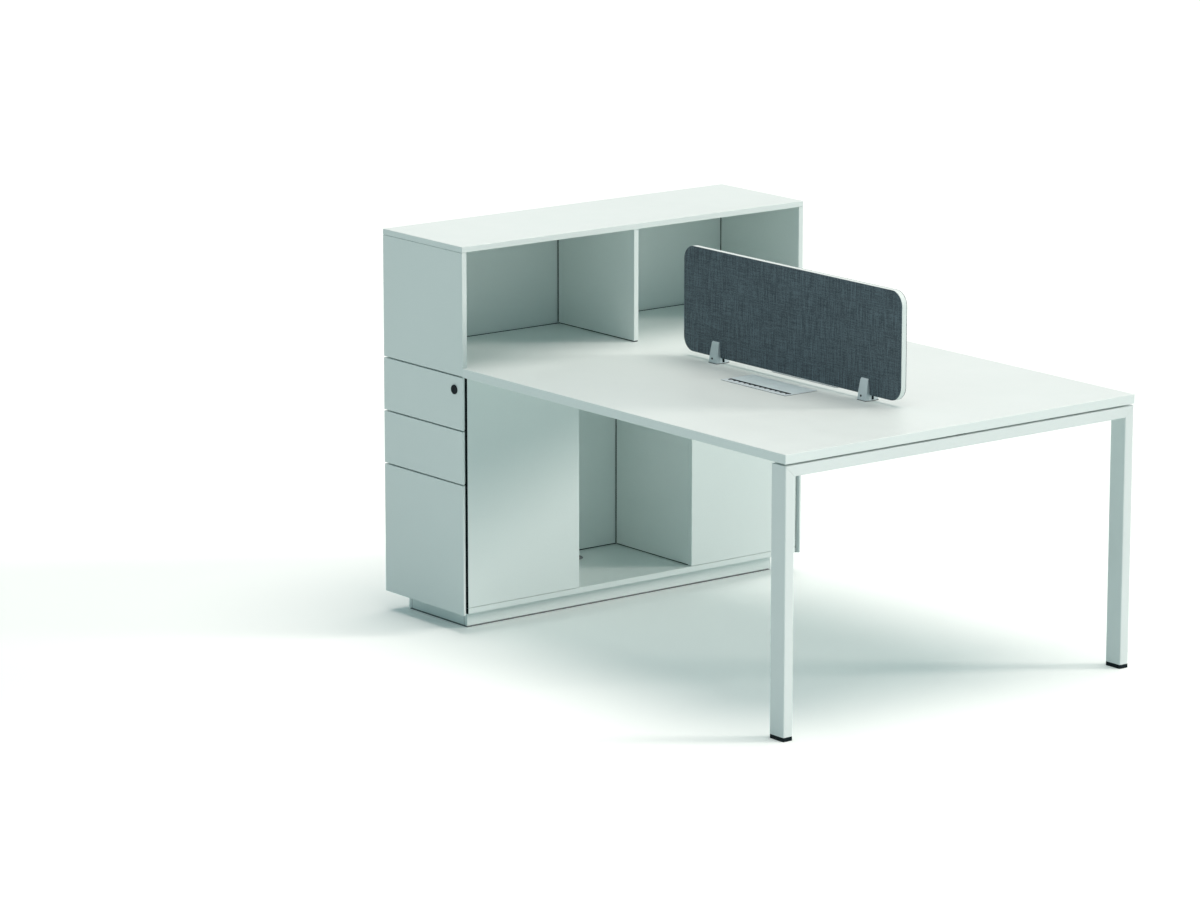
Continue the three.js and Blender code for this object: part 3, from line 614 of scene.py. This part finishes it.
def plinth_joint_shade_lines():
    """Fine black lines of painted shade on the plinth's ends, where its end boards meet the front
    and back boards.
    """
    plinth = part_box("plinth")
    low, high = plinth
    places = (
        ("back", low.x + PLINTH_BOARD),
        ("front", high.x - PLINTH_BOARD - PLINTH_JOINT),
    )
    for end, side in ENDS:
        face = face_towards(side, plinth)
        inner, outer = face + side * PLINTH_JOINT_CLEARANCE, face + side * PLINTH_JOINT_REACH
        for name, x in places:
            tape(f"plinth_joint_{end}_{name}", (x, inner, low.z + PLINTH_JOINT_FOOT),
                 (x + PLINTH_JOINT, outer, high.z - TAPE_SIDE_GAP))


def cable_brush(end, side):
    """A brush over the cable slit of a power box, with a tuft at every gap of the comb below it."""
    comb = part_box(f"cable_comb_{end}")
    low, high = comb
    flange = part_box(f"power_box_{end}")[1].z
    start = face_towards(side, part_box(f"power_lid_{end}")) + side * BRUSH_CLEARANCE
    root = face_towards(side, comb) + side * BRUSH_CLEARANCE
    tip = root + side * TUFT_LENGTH
    middle = (low.x + high.x) / 2
    outline = [(low.x, root), (low.x, start), (high.x, start), (high.x, root)]
    for i in reversed(range(TUFT_COUNT)):
        centre = middle + (i - (TUFT_COUNT - 1) / 2) * TUFT_PITCH
        right, left = centre + TUFT_WIDTH / 2, centre - TUFT_WIDTH / 2
        outline += [(right, root), (right - TUFT_TAPER, tip),
                    (left + TUFT_TAPER, tip), (left, root)]
    levels = (flange + BRUSH_LIFT, flange + BRUSH_HEIGHT)
    name = f"cable_brush_{end}"
    mesh = skin(name, [[(x, y, z) for x, y in outline] for z in levels])
    new_piece(name, mesh, "black_plastic")


def clamp_gasket_and_shade(name, low, high):
    """A rubber ring on the worktop, round the foot of a screen clamp; its black rim is also painted
    shade along the foot.
    """
    middle = (low.x + high.x) / 2
    half = high.x - middle
    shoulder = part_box("screen_pad_far")[1].y
    foot, head = low.z, low.z + GASKET_HEIGHT
    loops = []
    for reach, z in ((GASKET_REACH, foot), (GASKET_REACH, head),
                     (RUBBER_CLEARANCE, head), (RUBBER_CLEARANCE, foot)):
        side, front, edge = half + reach, CLAMP_FRONT_SHARE * half + reach, high.y + reach
        outline = [(front, -edge), (side, -shoulder), (side, shoulder), (front, edge),
                   (-front, edge), (-side, shoulder), (-side, -shoulder), (-front, -edge)]
        loops.append([(middle + x, y, z) for x, y in outline])
    new_piece(name, skin(name, loops, closed=True), "black_plastic")


def slot_plug_and_shade(name, low, high, way):
    """A rubber plug with a lip, in one end of the slot in a screen clamp's foot; its black also
    darkens the slot as painted shade.
    """
    middle = (low.x + high.x) / 2
    half = high.x - middle
    lip = RUBBER_CLEARANCE + SLOT_LIP_THICKNESS
    left = [(-SLOT_STEM_DEPTH, -SLOT_STEM), (RUBBER_CLEARANCE, -SLOT_STEM),
            (RUBBER_CLEARANCE, -SLOT_LIP), (lip, -SLOT_LIP)]
    outline = left + [(x, -y) for x, y in reversed(left)]
    loops = []
    for z in (low.z + SLOT_BRIDGE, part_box("screen_core")[0].z - SLOT_HEADROOM):
        face = half - CLAMP_LEAN * (z - low.z)
        loops.append([(middle + way * (face + x), y, z) for x, y in outline])
    new_piece(name, skin(name, loops), "black_plastic")


def clamp_rubbers_and_shade():
    """A gasket round the foot of each screen clamp and a plug in each end of its slot, black rubber
    that is also painted shade.
    """
    for hand in ("left", "right"):
        low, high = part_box(f"screen_bracket_{hand}")
        clamp_gasket_and_shade(f"clamp_gasket_and_shade_{hand}", low, high)
        for name, way in (("back", -1), ("front", 1)):
            slot_plug_and_shade(f"clamp_plug_{hand}_{name}", low, high, way)


def screw_mesh(name, radius, height, key_radius, dome=0.0):
    """A screw head along +Z with a rounded rim and a six-sided key socket."""
    turns = [2 * math.pi * i / SCREW_SIDES for i in range(SCREW_SIDES)]
    sixth = math.pi / 3
    rim = SCREW_RIM_SHARE * radius
    crown = height + dome
    profile = ((radius, 0.0), (radius, height - rim), (radius - rim, height), (key_radius, crown))
    loops = []
    for reach, z in profile:
        loops.append([(reach * math.cos(turn), reach * math.sin(turn), z) for turn in turns])
    for z in (crown, height - SOCKET_DEPTH_SHARE * height):
        loop = []
        for turn in turns:
            flat = math.cos(sixth / 2) / math.cos(turn % sixth - sixth / 2)
            reach = SOCKET_FIT * key_radius * flat
            loop.append((reach * math.cos(turn), reach * math.sin(turn), z))
        loops.append(loop)
    return skin(name, loops)


def clamp_screws():
    """A low black button screw on each face of the screen clamps."""
    head = screw_mesh("button_screw", BUTTON_RADIUS, BUTTON_HEIGHT, BUTTON_KEY_RADIUS)
    for hand in ("left", "right"):
        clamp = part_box(f"screen_bracket_{hand}")
        low, high = clamp
        x = (low.x + high.x) / 2 - BUTTON_OFFSET
        for end, side in ENDS:
            y = face_towards(side, clamp) - side * BUTTON_DEPTH
            new_piece(f"clamp_screw_{hand}_{end}", head.copy(), "cast_aluminium", OXIDE,
                      place=(x, y, low.z + BUTTON_LEVEL), facing=(0, side, 0))


def rail_screws():
    """Pan-head screws that hold each rail's end plate to the cabinet."""
    head = screw_mesh("pan_screw", PAN_RADIUS, PAN_HEIGHT, PAN_KEY_RADIUS, PAN_DOME)
    for end, _ in ENDS:
        low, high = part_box(f"rail_{end}")
        x = low.x + RAIL_PLATE_THICKNESS
        middle = (low.y + high.y) / 2
        spread = RAIL_PLATE_HALF - PAN_INSET
        rows = (("low", high.z - RAIL_PLATE_HEIGHT + PAN_INSET), ("high", high.z - PAN_INSET))
        for row, z in rows:
            for hand, y in (("left", middle - spread), ("right", middle + spread)):
                new_piece(f"rail_screw_{end}_{row}_{hand}", head.copy(), "zinc_steel",
                          place=(x, y, z), facing=(1, 0, 0))


def seen_rays(tree):
    """One for rays from the camera, a mirror or glass, and nought for scattered light."""
    path = tree.nodes.new("ShaderNodeLightPath")
    seen = path.outputs["Is Camera Ray"]
    for name in ("Is Glossy Ray", "Is Transmission Ray"):
        largest = tree.nodes.new("ShaderNodeMath")
        largest.operation = "MAXIMUM"
        tree.links.new(seen, largest.inputs[0])
        tree.links.new(path.outputs[name], largest.inputs[1])
        seen = largest.outputs["Value"]
    return seen


def floor_white(name):
    """Matt white: paler and faintly glowing where it is seen than for the light it throws back."""
    finish = Finish(name)
    seen = seen_rays(finish.tree)
    finish.shade("Base Color", finish.mix(FLOOR_BOUNCE, FLOOR_SEEN, factor=seen))
    finish.shade("Roughness", 1.0)
    finish.shade("Specular IOR Level", 0.0)
    finish.shade("Emission Color", FLOOR_SEEN)
    finish.shade("Emission Strength", finish.compute("MULTIPLY", seen, FLOOR_GLOW))
    return finish.material


def add_floor():
    """A wide floor that keeps the desk's shadow."""
    build = bmesh.new()
    bmesh.ops.create_grid(build, x_segments=2, y_segments=2, size=FLOOR_SIZE / 2)
    mesh = bpy.data.meshes.new("studio_floor")
    build.to_mesh(mesh)
    build.free()
    mesh.materials.append(floor_white("studio_floor"))
    floor = bpy.data.objects.new("studio_floor", mesh)
    bpy.context.scene.collection.objects.link(floor)


def add_sky():
    """White where it is seen, and a soft bluish light elsewhere."""
    world = bpy.data.worlds.new("studio_sky")
    bpy.context.scene.world = world
    world.use_nodes = True
    tree = world.node_tree
    light = tree.nodes["Background"]
    light.inputs["Color"].default_value = SKY_COLOUR
    light.inputs["Strength"].default_value = 1.0
    white = tree.nodes.new("ShaderNodeBackground")
    white.inputs["Color"].default_value = SKY_SEEN
    white.inputs["Strength"].default_value = 1.0
    mix = tree.nodes.new("ShaderNodeMixShader")
    tree.links.new(seen_rays(tree), mix.inputs[0])
    tree.links.new(light.outputs[0], mix.inputs[1])
    tree.links.new(white.outputs[0], mix.inputs[2])
    tree.links.new(mix.outputs[0], tree.nodes["World Output"].inputs["Surface"])


def add_lamp(name, colour, came_from, softness):
    """A soft lamp that leaves no glare: gloss shows the white studio instead."""
    lamp = bpy.data.lights.new(name, "SUN")
    lamp.color = colour
    lamp.energy = LAMP_STRENGTH
    lamp.angle = softness
    holder = bpy.data.objects.new(name, lamp)
    holder.rotation_euler = came_from.to_track_quat("Z", "Y").to_euler()
    holder.visible_glossy = False
    bpy.context.scene.collection.objects.link(holder)


def add_camera():
    """The camera of the photograph, from its place, yaw and downward pitch."""
    camera = bpy.data.cameras.new("photo_camera")
    camera.sensor_fit = "HORIZONTAL"
    camera.sensor_width = CAMERA_SENSOR
    camera.lens = CAMERA_LENS
    camera.clip_end = CAMERA_RANGE
    holder = bpy.data.objects.new("photo_camera", camera)
    holder.location = CAMERA_PLACE
    level = math.cos(CAMERA_PITCH)
    forward = Vector((
        math.cos(CAMERA_YAW) * level, math.sin(CAMERA_YAW) * level, -math.sin(CAMERA_PITCH)))
    holder.rotation_euler = forward.to_track_quat("-Z", "Y").to_euler()
    bpy.context.scene.collection.objects.link(holder)
    bpy.context.scene.camera = holder


dress_nodes()
for end, side in ENDS:
    fabric_face(end, side)
    cable_brush(end, side)
joint_shade_strips()
plinth_glides_and_foot_shade()
plinth_joint_shade_lines()
clamp_rubbers_and_shade()
clamp_screws()
rail_screws()
add_floor()
add_sky()
add_lamp("key_lamp", KEY_COLOUR, KEY_FROM, KEY_SOFTNESS)
add_lamp("top_lamp", TOP_COLOUR, TOP_FROM, TOP_SOFTNESS)
add_camera()
bpy.context.scene.view_settings.view_transform = "Standard"
